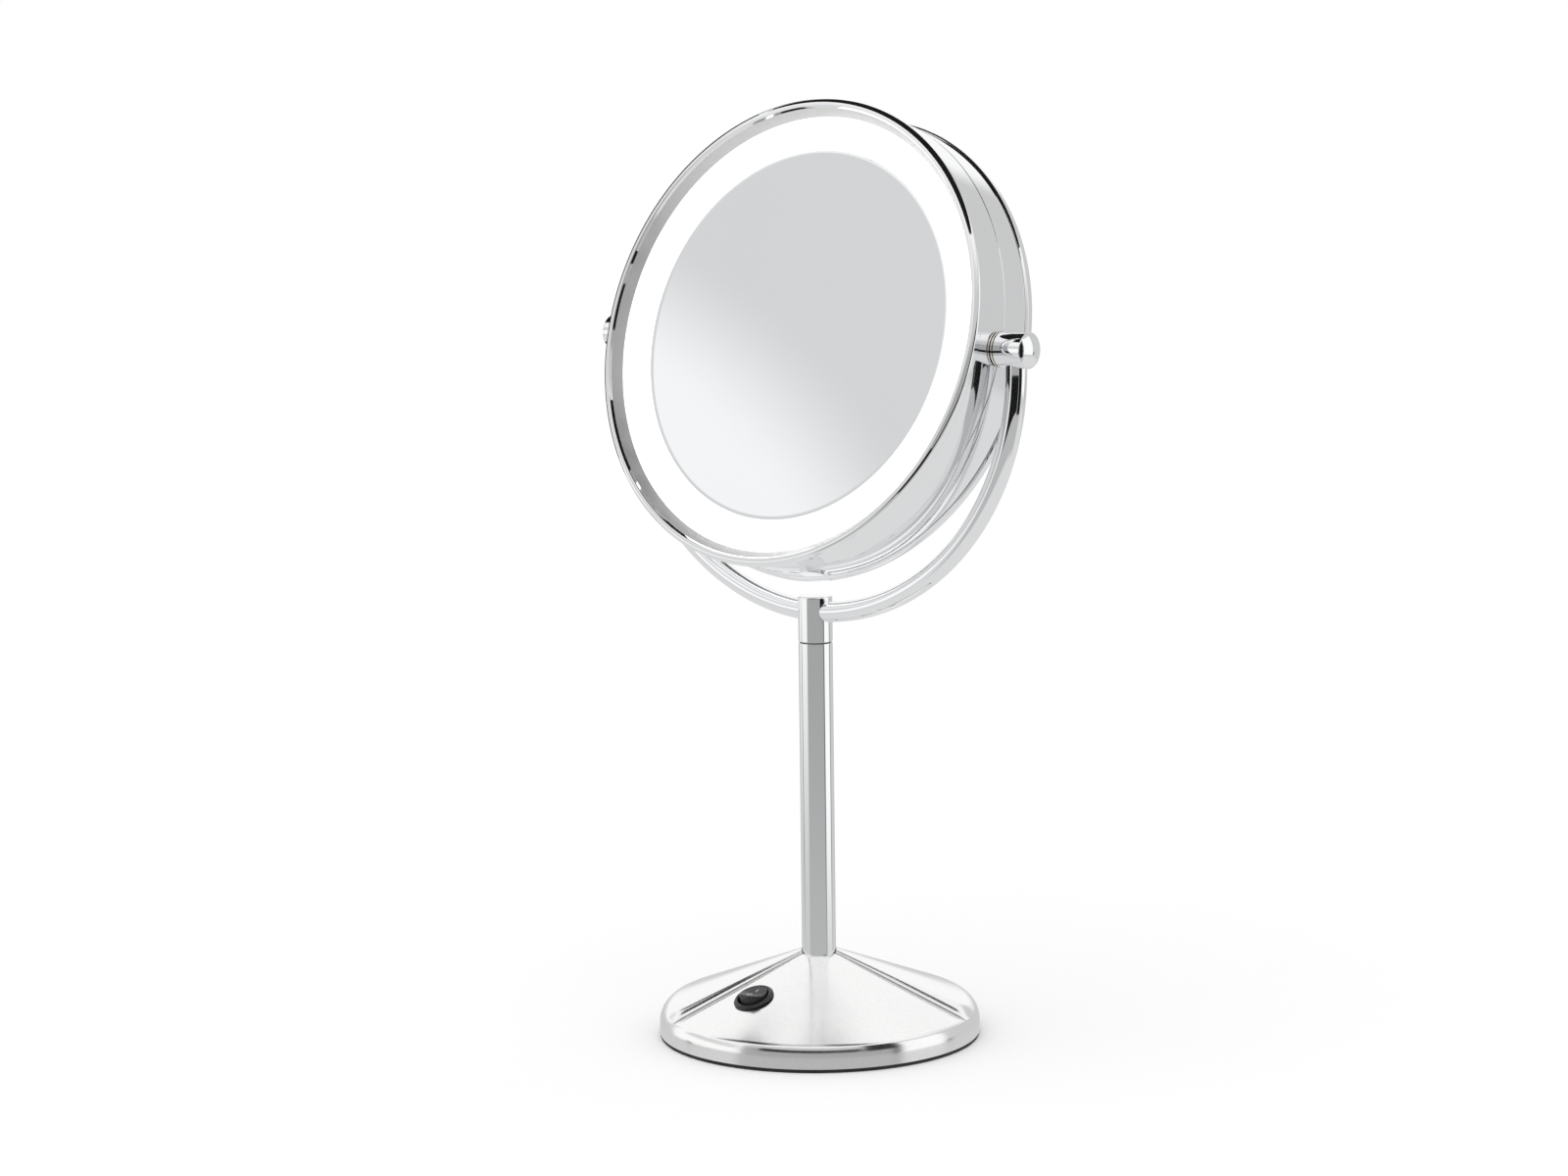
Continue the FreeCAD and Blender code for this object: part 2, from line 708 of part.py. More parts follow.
def bezel():
    """Rounded outer bead with a sloping inner lip and a spigot that sits inside the drum wall."""
    low = shell_top + 0.15
    spigot = drum_radius - drum_wall - 0.1
    crown = (99.4, half_depth)
    widest = (bezel_radius, low + 2.2)
    outer = arc((drum_radius + 0.25, low), (bezel_radius - 0.22, low + 0.9), widest)
    bead = arc(widest, (100.95, half_depth - 0.85), crown)
    inner_bead = arc(crown, (98.35, half_depth - 0.32), (97.7, half_depth - 1.3))
    edges = [outer, bead, inner_bead]
    corners = [(97.7, half_depth - 1.3), (ring_radius, ring_edge_height + 0.35),
               (96.4, ring_edge_height + 0.45), (96.4, flange_high + 0.05), (spigot, flange_high + 0.05),
               (spigot, low), (drum_radius + 0.25, low)]
    edges += [line(a, b) for a, b in zip(corners, corners[1:])]
    return turned_edges(edges)


def hollow_height(radius):
    """Height of the magnifying glass's front face, a shallow hollow sphere."""
    centre = mirror_edge_height + math.sqrt(magnifier_curve ** 2 - mirror_radius ** 2)
    return centre - math.sqrt(magnifier_curve ** 2 - radius ** 2)


def magnifying_mirror():
    top = [(0, hollow_height(0)), (mirror_radius / 2.0, hollow_height(mirror_radius / 2.0)),
           (mirror_radius, hollow_height(mirror_radius))]
    low = [(r, z - glass_thickness) for r, z in top]
    edges = [arc(*top), line(top[2], low[2]), arc(low[2], low[1], low[0]), line(low[0], top[0])]
    return turned_edges(edges)


def lit_ring(inner_height, outer_height):
    inner = mirror_radius + 0.12
    outer = 96.0
    rise = (outer_height - inner_height) / (ring_radius - inner)
    end = inner_height + rise * (outer - inner)
    return turned([(inner, inner_height - 2.0), (outer, end - 2.0), (outer, end), (inner, inner_height)])


def reflector_tray(mirror_back, ring_back):
    """White tray: floor, outer wall, and the step that carries the glass and the lit ring."""
    floor = tray_floor + tray_plate
    outline = [(0, tray_floor), (tray_radius, tray_floor), (tray_radius, 11.4),
               (tray_radius - tray_wall, 11.4), (tray_radius - tray_wall, floor), (82.6, floor),
               (82.6, ring_back), (80.55, ring_back), (80.55, mirror_back), (78.8, mirror_back),
               (78.8, floor), (0, floor)]
    tray = turned(outline)
    for hole in around(cylinder(1.6, 0.0, 8.0, screw_circle), tray_screw_count, tray_screw_start):
        tray = tray.cut(hole)
    return tray


def led_board():
    floor = tray_floor + tray_plate
    return ring(led_ring_inner, led_ring_outer, floor + 0.05, floor + 1.25)


def leds():
    base = tray_floor + tray_plate + 1.3
    chip = box((86.6, -1.75, base), (89.6, 1.75, base + 0.9))
    return around(chip, led_count)


def pivot_frame():
    frame = ring(68.0, frame_radius, -frame_half, frame_half)
    for hole in both_sides(cylinder_x(tail_radius + close_fit, 60.0, 100.0)):
        frame = frame.cut(hole)
    for hole in around(cylinder(1.6, -5.0, 5.0, screw_circle), tray_screw_count, tray_screw_start):
        frame = frame.cut(hole)
    return frame


def trunnion():
    pin = cylinder_x(tail_radius, 62.0, 96.5)
    flange = cylinder_x(6.5, 96.45, 98.4)
    journal = cylinder_x(stem_radius, 98.3, journal_end)
    pin = joined([pin, flange, journal])
    return pin.cut(cylinder_x(1.2, 50.0, 120.0))


def trunnion_nut():
    nut = spun(hexagon(5.4, 63.2, 67.9, tail_radius + 0.02), 30.0)
    return spun(nut, 90.0, axis_y)


def tray_screws():
    shank = cylinder(1.5, -tray_floor - tray_plate - 0.6, tray_floor + tray_plate + 0.1, screw_circle)
    head = cylinder(2.7, tray_floor + tray_plate + 0.05, tray_floor + tray_plate + 1.6, screw_circle)
    screw = shank.fuse(head).removeSplitter()
    return around(screw, tray_screw_count, tray_screw_start)


def head_lead():
    route = rounded_path([(106.8, 0, 0), (50.0, 0, 0), (50.0, 18.0, 0)], 8.0)
    return pipe(route, 0.9)


def head_pieces():
    back_plate = hollow_height(78.8) - glass_thickness
    front = {"shell": drum_shell(), "bezel": bezel(), "mirror": magnifying_mirror()}
    front["diffuser"] = lit_ring(mirror_edge_height, ring_edge_height)
    front["tray"] = reflector_tray(back_plate - 0.05, mirror_edge_height - 2.05)
    front["led_board"] = led_board()
    front["mirror_pad"] = ring(pad_inner, pad_outer, tray_floor + tray_plate + 0.03, 7.8)
    rear = {"shell": drum_shell(), "bezel": bezel()}
    rear["mirror"] = cylinder(mirror_radius, flat_mirror_height - glass_thickness, flat_mirror_height)
    rear["diffuser"] = lit_ring(flat_mirror_height, ring_edge_height)
    rear["tray"] = reflector_tray(flat_mirror_height - glass_thickness - 0.05, flat_mirror_height - 2.05)
    rear["led_board"] = led_board()
    rear["mirror_pad"] = ring(pad_inner, pad_outer, tray_floor + tray_plate + 0.03, 10.9)
    for part, shape in front.items():
        keep("front_" + part, on_head(shape))
    for part, shape in rear.items():
        keep("rear_" + part, on_head(flipped(shape)))
    keep_group("front_leds", [on_head(s) for s in leds()])
    keep_group("rear_leds", [on_head(flipped(s)) for s in leds()])
    keep("pivot_frame", on_head(pivot_frame()))
    keep("trunnion_right", on_head(trunnion()))
    keep("trunnion_left", on_head(spun(trunnion(), 180.0)))
    keep_group("trunnion_nuts", [on_head(s) for s in both_sides(trunnion_nut())])
    washer = ring_x(tail_radius + 0.1, 6.0, 95.85, 96.35)
    keep_group("friction_washers", [on_head(s) for s in both_sides(washer)])
    keep_group("tray_screws", [on_head(s) for s in tray_screws()])
    keep("head_lead", on_head(head_lead()))


stand_pieces()
yoke_pieces()
head_pieces()

os.makedirs("parts", exist_ok=True)
for name, shape in pieces.items():
    shape.exportStep(os.path.join("parts", name + ".step"))
    solids = shape.Solids
    volume = sum(solid.Volume for solid in solids) / 1000.0
    print("%-20s %3d solids %9.3f cm3  valid %s" % (name, len(solids), volume, shape.isValid()))
print(len(pieces), "nodes")
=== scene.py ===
import json
import math

import bmesh
import bpy
from mathutils import Matrix, Vector


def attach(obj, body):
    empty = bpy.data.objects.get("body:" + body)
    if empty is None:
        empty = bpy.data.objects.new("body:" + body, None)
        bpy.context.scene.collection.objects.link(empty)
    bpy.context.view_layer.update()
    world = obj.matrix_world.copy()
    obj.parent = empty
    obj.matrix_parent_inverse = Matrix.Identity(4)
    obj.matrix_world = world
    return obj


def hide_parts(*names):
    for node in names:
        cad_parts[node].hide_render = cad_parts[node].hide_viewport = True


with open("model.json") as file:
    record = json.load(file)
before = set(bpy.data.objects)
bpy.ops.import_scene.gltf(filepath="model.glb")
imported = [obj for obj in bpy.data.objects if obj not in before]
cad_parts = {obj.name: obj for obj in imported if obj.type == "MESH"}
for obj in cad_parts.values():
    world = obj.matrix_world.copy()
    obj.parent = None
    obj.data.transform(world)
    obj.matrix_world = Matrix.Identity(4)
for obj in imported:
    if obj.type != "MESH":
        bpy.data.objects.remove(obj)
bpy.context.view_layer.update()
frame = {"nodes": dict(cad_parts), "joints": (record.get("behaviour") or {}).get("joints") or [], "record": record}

mm = 0.001
nodes = frame["nodes"]
joints = {j["name"]: j for j in frame["joints"]}
slotOfNode = {s["node"]: s["material_slot"] for s in frame["record"]["subparts"]}
print("frame loaded:", len(nodes), "nodes")

# where the yoke and the head rest: the tilt joint gives the pivot line, and its travel is even about upright
pivotAxis = Vector(joints["tilt"]["axis"])
pivotPlace = Vector(joints["tilt"]["pos_m"])
yokeTurn = math.atan2(pivotAxis.y, pivotAxis.x)
leanBack = math.radians(sum(joints["tilt"]["range_deg"]) / 2)
yokeFrame = Matrix.Rotation(yokeTurn, 4, "Z")
headFrame = Matrix.Translation(pivotPlace) @ yokeFrame @ Matrix.Rotation(math.radians(90) - leanBack, 4, "X")
standFrame = Matrix.Identity(4)
halfTurnX = Matrix.Rotation(math.pi, 4, "X")
halfTurnZ = Matrix.Rotation(math.pi, 4, "Z")


# mesh helpers work in millimetres, with Z as each piece's own axis
def finishMesh(name, verts, faces, place, sharpAngle=38):
    mesh = bpy.data.meshes.new(name)
    mesh.from_pydata([place @ (Vector(v) * mm) for v in verts], [], faces)
    mesh.validate()
    mesh.shade_smooth()
    mesh.set_sharp_from_angle(angle=math.radians(sharpAngle))
    piece = bpy.data.objects.new(name, mesh)
    bpy.context.scene.collection.objects.link(piece)
    return piece


def roundCorners(points, radii, steps=6):
    # an outline of (r, z) corners with each corner eased by its own radius
    outline = []
    count = len(points)
    for i, (corner, radius) in enumerate(zip(points, radii)):
        p = Vector(corner)
        if radius <= 0:
            outline.append(p)
            continue
        a = Vector(points[i - 1]) - p
        b = Vector(points[(i + 1) % count]) - p
        half = a.angle(b) / 2
        reach = min(radius / math.tan(half), 0.49 * a.length, 0.49 * b.length)
        radius = reach * math.tan(half)
        start = p + a.normalized() * reach
        end = p + b.normalized() * reach
        centre = p + (a.normalized() + b.normalized()).normalized() * (radius / math.sin(half))
        fromA, fromB = start - centre, end - centre
        sweep = fromA.angle_signed(fromB)
        for k in range(steps + 1):
            turn = Matrix.Rotation(-sweep * k / steps, 2)
            outline.append(centre + turn @ fromA)
    return outline


def heldFlat(outline, reach=0.06):
    # extra points close to both ends of each long run, so that shading stays flat beside a rounded corner
    held = []
    count = len(outline)
    for i, point in enumerate(outline):
        a, b = Vector(point), Vector(outline[(i + 1) % count])
        held.append(a)
        length = (b - a).length
        if length > 6 * reach:
            held.append(a + (b - a) * (reach / length))
            held.append(b - (b - a) * (reach / length))
    return held


def lathe(name, outline, place, around=192, sharpAngle=38, hold=True):
    # a closed outline spun about Z; points on the axis share one vertex
    verts, rings = [], []
    if hold:
        outline = heldFlat(outline)
    for r, z in outline:
        if r < 1e-6:
            verts.append((0, 0, z))
            rings.append([len(verts) - 1] * around)
            continue
        start = len(verts)
        verts += [(r * math.cos(2 * math.pi * k / around), r * math.sin(2 * math.pi * k / around), z)
                  for k in range(around)]
        rings.append(list(range(start, start + around)))
    faces = []
    for lower, upper in zip(rings, rings[1:] + rings[:1]):
        if lower[0] == lower[1] and upper[0] == upper[1]:
            continue
        for k in range(around):
            face = []
            for v in (lower[k], lower[(k + 1) % around], upper[(k + 1) % around], upper[k]):
                if v not in face:
                    face.append(v)
            faces.append(face)
    piece = finishMesh(name, verts, faces, place, sharpAngle)
    fixNormals(piece)
    return piece


def fixNormals(piece):
    bm = bmesh.new()
    bm.from_mesh(piece.data)
    bmesh.ops.recalc_face_normals(bm, faces=bm.faces)
    bm.to_mesh(piece.data)
    bm.free()


def sweepTube(name, path, radius, place, around=40):
    # a round bar along a path of points in the XZ plane
    verts, faces = [], []
    for i, point in enumerate(path):
        before = path[max(i - 1, 0)]
        after = path[min(i + 1, len(path) - 1)]
        along = (after - before).normalized()
        side = Vector((0, 1, 0))
        up = along.cross(side)
        for k in range(around):
            angle = 2 * math.pi * k / around
            verts.append(point + (side * math.cos(angle) + up * math.sin(angle)) * radius)
    for i in range(len(path) - 1):
        for k in range(around):
            a, b = i * around + k, i * around + (k + 1) % around
            faces.append((a, b, b + around, a + around))
    faces.append(tuple(range(around)))
    faces.append(tuple(reversed(range(len(verts) - around, len(verts)))))
    piece = finishMesh(name, verts, faces, place)
    fixNormals(piece)
    return piece


def put(piece, material, body, slotName, *replaced):
    piece.data.materials.clear()
    piece.data.materials.append(material)
    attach(piece, body)
    if replaced:
        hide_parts(*replaced)
    return piece


# finishes
def startMaterial(name, colour, metallic, roughness):
    material = bpy.data.materials.new(name)
    material.use_nodes = True
    tree = material.node_tree
    shader = tree.nodes["Principled BSDF"]
    shader.inputs["Base Color"].default_value = (*colour, 1)
    shader.inputs["Metallic"].default_value = metallic
    shader.inputs["Roughness"].default_value = roughness
    material.diffuse_color = (*colour, 1)
    return material, tree, shader


def mathNode(tree, op, a, b=None):
    node = tree.nodes.new("ShaderNodeMath")
    node.operation = op
    for i, value in enumerate((a, b)):
        if value is None:
            continue
        if isinstance(value, (int, float)):
            node.inputs[i].default_value = value
        else:
            tree.links.new(value, node.inputs[i])
    return node.outputs["Value"]


def noise(tree, scale, detail=4, stretch=(1, 1, 1)):
    place = tree.nodes.new("ShaderNodeTexCoord")
    mapping = tree.nodes.new("ShaderNodeMapping")
    mapping.inputs["Scale"].default_value = stretch
    texture = tree.nodes.new("ShaderNodeTexNoise")
    texture.inputs["Scale"].default_value = scale
    texture.inputs["Detail"].default_value = detail
    tree.links.new(place.outputs["Object"], mapping.inputs["Vector"])
    tree.links.new(mapping.outputs["Vector"], texture.inputs["Vector"])
    return texture.outputs["Fac"]


def ranged(tree, value, low, high, fromLow=0.3, fromHigh=0.7):
    node = tree.nodes.new("ShaderNodeMapRange")
    node.inputs["From Min"].default_value = fromLow
    node.inputs["From Max"].default_value = fromHigh
    node.inputs["To Min"].default_value = low
    node.inputs["To Max"].default_value = high
    tree.links.new(value, node.inputs["Value"])
    return node.outputs["Result"]


def tinted(tree, value, dark, light):
    ramp = tree.nodes.new("ShaderNodeValToRGB")
    ramp.color_ramp.elements[0].position = 0.3
    ramp.color_ramp.elements[1].position = 0.7
    ramp.color_ramp.elements[0].color = (*dark, 1)
    ramp.color_ramp.elements[1].color = (*light, 1)
    tree.links.new(value, ramp.inputs["Fac"])
    return ramp.outputs["Color"]


def bumped(tree, shader, height, depth, strength=1.0):
    node = tree.nodes.new("ShaderNodeBump")
    node.inputs["Strength"].default_value = strength
    node.inputs["Distance"].default_value = depth
    tree.links.new(height, node.inputs["Height"])
    tree.links.new(node.outputs["Normal"], shader.inputs["Normal"])


chromeLook = {"colour": (0.93, 0.935, 0.945), "roughLow": 0.02, "roughHigh": 0.05, "haze": 22, "ripple": 0.0000006}


def polishedChrome(name="polishedChrome"):
    material, tree, shader = startMaterial(name, chromeLook["colour"], 1, 0.03)
    haze = noise(tree, chromeLook["haze"], 6)
    tree.links.new(ranged(tree, haze, chromeLook["roughLow"], chromeLook["roughHigh"]), shader.inputs["Roughness"])
    light = chromeLook["colour"]
    dark = tuple(c * 0.975 for c in light)
    tree.links.new(tinted(tree, noise(tree, 9, 3), dark, light), shader.inputs["Base Color"])
    bumped(tree, shader, noise(tree, 60, 3), chromeLook["ripple"])
    return material


satinLook = {"colour": (0.95, 0.948, 0.945), "roughLow": 0.13, "roughHigh": 0.19, "grain": 2600,
             "grainDepth": 0.000003}


def satinChrome(name="satinChrome"):
    material, tree, shader = startMaterial(name, satinLook["colour"], 1, 0.3)
    cloud = noise(tree, 30, 5)
    tree.links.new(ranged(tree, cloud, satinLook["roughLow"], satinLook["roughHigh"]), shader.inputs["Roughness"])
    light = satinLook["colour"]
    dark = tuple(c * 0.96 for c in light)
    tree.links.new(tinted(tree, noise(tree, 700, 4), dark, light), shader.inputs["Base Color"])
    bumped(tree, shader, noise(tree, satinLook["grain"], 3), satinLook["grainDepth"], 0.5)
    return material


mirrorLook = {"colour": (0.93, 0.945, 0.955), "roughLow": 0.004, "roughHigh": 0.014}


def mirrorSilver():
    material, tree, shader = startMaterial("mirrorSilver", mirrorLook["colour"], 1, 0.008)
    smear = noise(tree, 14, 5, (1, 2.2, 1))
    rough = ranged(tree, smear, mirrorLook["roughLow"], mirrorLook["roughHigh"])
    tree.links.new(rough, shader.inputs["Roughness"])
    light = mirrorLook["colour"]
    dark = tuple(c * 0.985 for c in light)
    tree.links.new(tinted(tree, noise(tree, 6, 2), dark, light), shader.inputs["Base Color"])
    return material


litLook = {"colour": (0.96, 0.96, 0.95), "glow": (1.0, 0.995, 0.98), "strength": 0.62, "edge": 0.82, "inner": 80.5,
           "soft": 1.6, "lamps": 36, "betweenLamps": 0.985}


def frostedLit():
    # frosted ring: bright all round, a little greyer right beside the glass, faint swell over each lamp
    material, tree, shader = startMaterial("frostedLit", litLook["colour"], 0, 0.55)
    place = tree.nodes.new("ShaderNodeTexCoord")
    fromPivot = tree.nodes.new("ShaderNodeVectorMath")
    fromPivot.operation = "SUBTRACT"
    fromPivot.inputs[1].default_value = pivotPlace
    tree.links.new(place.outputs["Object"], fromPivot.inputs[0])
    flat = tree.nodes.new("ShaderNodeCombineXYZ")
    sides = []
    for name, column in (("X", 0), ("Y", 1)):
        side = tree.nodes.new("ShaderNodeVectorMath")
        side.operation = "DOT_PRODUCT"
        side.inputs[1].default_value = headFrame.to_3x3().col[column]
        tree.links.new(fromPivot.outputs["Vector"], side.inputs[0])
        tree.links.new(side.outputs["Value"], flat.inputs[name])
        sides.append(side.outputs["Value"])
    reach = tree.nodes.new("ShaderNodeVectorMath")
    reach.operation = "LENGTH"
    tree.links.new(flat.outputs["Vector"], reach.inputs[0])
    inner = litLook["inner"] * mm
    fade = ranged(tree, reach.outputs["Value"], litLook["edge"], 1.0, inner, inner + litLook["soft"] * mm)
    angle = mathNode(tree, "ARCTAN2", sides[1], sides[0])
    wave = mathNode(tree, "COSINE", mathNode(tree, "MULTIPLY", angle, litLook["lamps"]))
    swell = ranged(tree, wave, litLook["betweenLamps"], 1.0, -1, 1)
    glow = mathNode(tree, "MULTIPLY", fade, swell)
    tree.links.new(mathNode(tree, "MULTIPLY", glow, litLook["strength"]), shader.inputs["Emission Strength"])
    shader.inputs["Emission Color"].default_value = (*litLook["glow"], 1)
    bumped(tree, shader, noise(tree, 3500, 2), 0.000006, 0.4)
    return material


def plasticLike(name, colour, roughLow, roughHigh, grain, grainDepth, metallic=0, spread=0.85):
    material, tree, shader = startMaterial(name, colour, metallic, (roughLow + roughHigh) / 2)
    tree.links.new(ranged(tree, noise(tree, grain / 20, 5), roughLow, roughHigh), shader.inputs["Roughness"])
    dark = tuple(c * spread for c in colour)
    tree.links.new(tinted(tree, noise(tree, grain / 8, 4), dark, colour), shader.inputs["Base Color"])
    bumped(tree, shader, noise(tree, grain, 3), grainDepth, 0.6)
    return material


finishes = {
    "satin_chrome": satinChrome(),
    "polished_chrome": polishedChrome(),
    "mirror_glass": mirrorSilver(),
    "frosted_lit": frostedLit(),
    "black_rubber": plasticLike("blackRubber", (0.012, 0.012, 0.013), 0.6, 0.8, 2400, 0.00002),
    "black_plastic": plasticLike("blackPlastic", (0.018, 0.018, 0.019), 0.4, 0.55, 1800, 0.00002),
    "switch_black": plasticLike("switchPlastic", (0.012, 0.012, 0.013), 0.22, 0.34, 1500, 0.000006),
    "rocker_grain": plasticLike("rockerGrain", (0.02, 0.02, 0.021), 0.3, 0.5, 3200, 0.00003),
    "cast_iron": plasticLike("castIron", (0.1, 0.1, 0.105), 0.6, 0.85, 700, 0.0001, 0.7),
    "plain_steel": plasticLike("plainSteel", (0.6, 0.61, 0.63), 0.25, 0.4, 1600, 0.000006, 1),
    "brass": plasticLike("agedBrass", (0.34, 0.26, 0.13), 0.22, 0.36, 1400, 0.000004, 1),
    "nylon": plasticLike("blackNylon", (0.03, 0.03, 0.032), 0.35, 0.5, 1500, 0.00001),
    "cell_jacket": plasticLike("cellJacket", (0.06, 0.12, 0.2), 0.25, 0.35, 900, 0.000004),
    "circuit_board": plasticLike("circuitBoard", (0.02, 0.16, 0.07), 0.3, 0.45, 1800, 0.00001),
    "lead_jacket": plasticLike("leadJacket", (0.5, 0.5, 0.5), 0.35, 0.5, 1200, 0.00001),
    "white_plastic": plasticLike("whitePlastic", (0.8, 0.8, 0.78), 0.4, 0.55, 1400, 0.00001, 0, 0.96),
    "foam": plasticLike("whiteFoam", (0.7, 0.7, 0.68), 0.8, 0.95, 1500, 0.0002, 0, 0.9),
    "trim": plasticLike("satinTrim", (0.84, 0.84, 0.84), 0.45, 0.55, 1800, 0.000004, 1, 0.97),
    "led": plasticLike("lampLens", (0.9, 0.8, 0.45), 0.15, 0.3, 1200, 0.000004, 0, 0.9),
}
for name, node in nodes.items():
    node.data.materials.clear()
    node.data.materials.append(finishes[slotOfNode[name]])
chrome = finishes["polished_chrome"]
satin = finishes["satin_chrome"]
print("materials made:", len(finishes))


# base
base = {"radius": 70.0, "foot": 1.32, "coneTop": 40.2, "coneSlope": 0.379, "shoulder": 10.85, "wall": 2.2,
        "panelTop": 36.2, "panelSlope": 0.428, "postRadius": 7.45, "panelRadius": 67.7, "panelAngle": 69.0,
        "rimTop": 11.2, "rollNear": 1.6, "rollFar": 11.0, "hole": 7.7, "panelSeat": 2.05, "panelGap": 0.3,
        "panelEase": 0.35, "panelThick": 2.0}


def wingHeight(r):
    centreR = base["radius"] - base["shoulder"]
    bend = math.atan(base["coneSlope"])
    centreZ = base["coneTop"] - base["coneSlope"] * centreR - base["shoulder"] / math.cos(bend)
    if r < centreR + base["shoulder"] * math.sin(bend):
        return base["coneTop"] - base["coneSlope"] * r
    return centreZ + math.sqrt(max(base["shoulder"] ** 2 - (r - centreR) ** 2, 0))


def panelHeight(r):
    return base["panelTop"] - base["panelSlope"] * (r - base["postRadius"])


# the switch sits in the panel, and the base is cut for its body
switch = {"distance": 40.0, "azimuth": 45.0, "flange": 8.9, "bore": 7.0, "height": 1.5, "body": 8.1,
          "rocker": 6.1, "endRadius": 7.0, "throw": 14.0, "slope": 12.0, "pivot": -0.6, "valley": 2.3}
switchFrame = (Matrix.Rotation(-math.radians(switch["azimuth"]), 4, "Z")
               @ Matrix.Translation(Vector((0, -switch["distance"], panelHeight(switch["distance"]))) * mm)
               @ Matrix.Rotation(math.atan(base["panelSlope"]), 4, "X"))


def baseShell():
    # one closed skin: the wings' tops, their edges rolling down to the panel, the rim, the wall and the inside
    seat = base["panelSeat"]
    groove = base["panelRadius"] + 0.5
    rows = [("top", base["hole"] + (groove - 0.05 - base["hole"]) * k / 46) for k in range(47)]
    rimStart = groove + 0.02
    rows += [("rim", rimStart + (base["radius"] - rimStart) * math.sin(math.pi / 2 * k / 12)) for k in range(13)]
    rows += [("side", z) for z in (4.6, 3.0, base["foot"] + 0.3)]
    rows += [("foot", base["radius"] - 0.3), ("foot", base["radius"] - base["wall"])]
    rows += [("in", base["radius"] - base["wall"] - k * (base["radius"] - base["wall"] - base["hole"]) / 24)
             for k in range(25)]
    rollSteps, wingSteps, frontSteps = 9, 72, 60
    startAngle = math.radians(base["panelAngle"])

    def columns(r):
        # angle from straight ahead, and how far the edge has rolled: 0 panel side, 1 top of the wing
        roll = base["rollNear"] + (base["rollFar"] - base["rollNear"]) * (r / base["radius"]) ** 2
        wide = roll / r
        right = [(startAngle * k / frontSteps, None) for k in range(frontSteps + 1)]
        turns = [math.pi / 2 * k / rollSteps for k in range(rollSteps + 1)]
        right += [(startAngle + wide * (1 - math.cos(turn)), math.sin(turn)) for turn in turns]
        last = startAngle + wide
        right += [(last + (math.pi - last) * k / wingSteps, 1.0) for k in range(1, wingSteps + 1)]
        left = [(-a, s) for a, s in reversed(right[1:-1])]
        return right + left

    verts = []
    for kind, value in rows:
        r = value if kind in ("top", "rim", "foot", "in") else base["radius"]
        for angle, roll in columns(max(r, 8)):
            if kind == "top":
                low = panelHeight(r) - 0.25
                z = panelHeight(r) - seat if roll is None else low + (wingHeight(r) - low) * roll
            elif kind == "rim":
                wing = wingHeight(r)
                ease = 0.35 * max(0.0, 1 - (r - groove) / 0.5) ** 2
                front = min(wing, base["rimTop"] - ease)
                z = front if roll is None else front + (wing - front) * roll
            elif kind == "side":
                z = value
            elif kind == "foot":
                z = base["foot"]
            else:
                z = min(wingHeight(r) - base["wall"], panelHeight(r) - seat - 1.6) if r < 67 else base["foot"] + 0.6
            verts.append((r * math.sin(angle), -r * math.cos(angle), z))
    count = len(columns(10))
    faces = []
    total = len(rows)
    for i in range(total):
        j = (i + 1) % total
        for k in range(count):
            m = (k + 1) % count
            faces.append((i * count + k, i * count + m, j * count + m, j * count + k))
    piece = finishMesh("baseShellSkin", verts, faces, standFrame, 32)
    fixNormals(piece)
    cutSwitchHole(piece)
    return put(piece, satin, "stand", "satin_chrome", "base_shell")


def frontPanel():
    # conical sheet let into the front, with its edges eased and a hole for the post
    inner, outer = base["hole"], base["panelRadius"]
    ease = base["panelEase"]
    steps = 96
    flat = outer - inner - 2 * ease
    top = [inner, inner + 0.1, inner + ease] + [inner + ease + flat * k / 30 for k in range(1, 31)]
    top += [outer - 0.1, outer]
    rows = [(r, panelHeight(r) - edgeDrop(min(r - inner, outer - r), ease)) for r in top]
    rows += [(r, panelHeight(r) - base["panelThick"]) for r in (outer, inner)]
    verts, faces = [], []
    edge = math.radians(base["panelAngle"])
    for r, z in rows:
        wide = edge - base["panelGap"] / r
        inset = ease / r
        angles = [-wide, -wide + inset * 0.3, -wide + inset]
        angles += [-wide + inset + 2 * (wide - inset) * k / steps for k in range(1, steps)]
        angles += [wide - inset, wide - inset * 0.3, wide]
        for a in angles:
            fall = edgeDrop((wide - abs(a)) * r, ease) if z > panelHeight(r) - 1.5 else 0
            verts.append((r * math.sin(a), -r * math.cos(a), z - fall))
    count = len(verts) // len(rows)
    for i in range(len(rows)):
        j = (i + 1) % len(rows)
        for k in range(count - 1):
            faces.append((i * count + k, i * count + k + 1, j * count + k + 1, j * count + k))
    faces.append(tuple(i * count for i in range(len(rows))))
    faces.append(tuple(i * count + count - 1 for i in reversed(range(len(rows)))))
    piece = finishMesh("frontPanelSheet", verts, faces, standFrame, 40)
    fixNormals(piece)
    cutSwitchHole(piece)
    return put(piece, satin, "stand", "satin_chrome", "front_panel")


def cutSwitchHole(piece):
    # the round hole that the switch body passes through, taken out with a cutter that is then removed
    r = switch["body"] + 0.05
    cutter = lathe("switchHoleCutter", [(0, -14), (r, -14), (r, 4), (0, 4)], switchFrame, 96, 38, False)
    bpy.context.view_layer.update()
    change = piece.modifiers.new("switchHole", "BOOLEAN")
    change.operation = "DIFFERENCE"
    change.solver = "EXACT"
    change.object = cutter
    bpy.context.view_layer.update()
    cut = bpy.data.meshes.new_from_object(piece.evaluated_get(bpy.context.evaluated_depsgraph_get()))
    piece.modifiers.clear()
    piece.data = cut
    bpy.data.objects.remove(cutter)
    piece.data.set_sharp_from_angle(angle=math.radians(32))


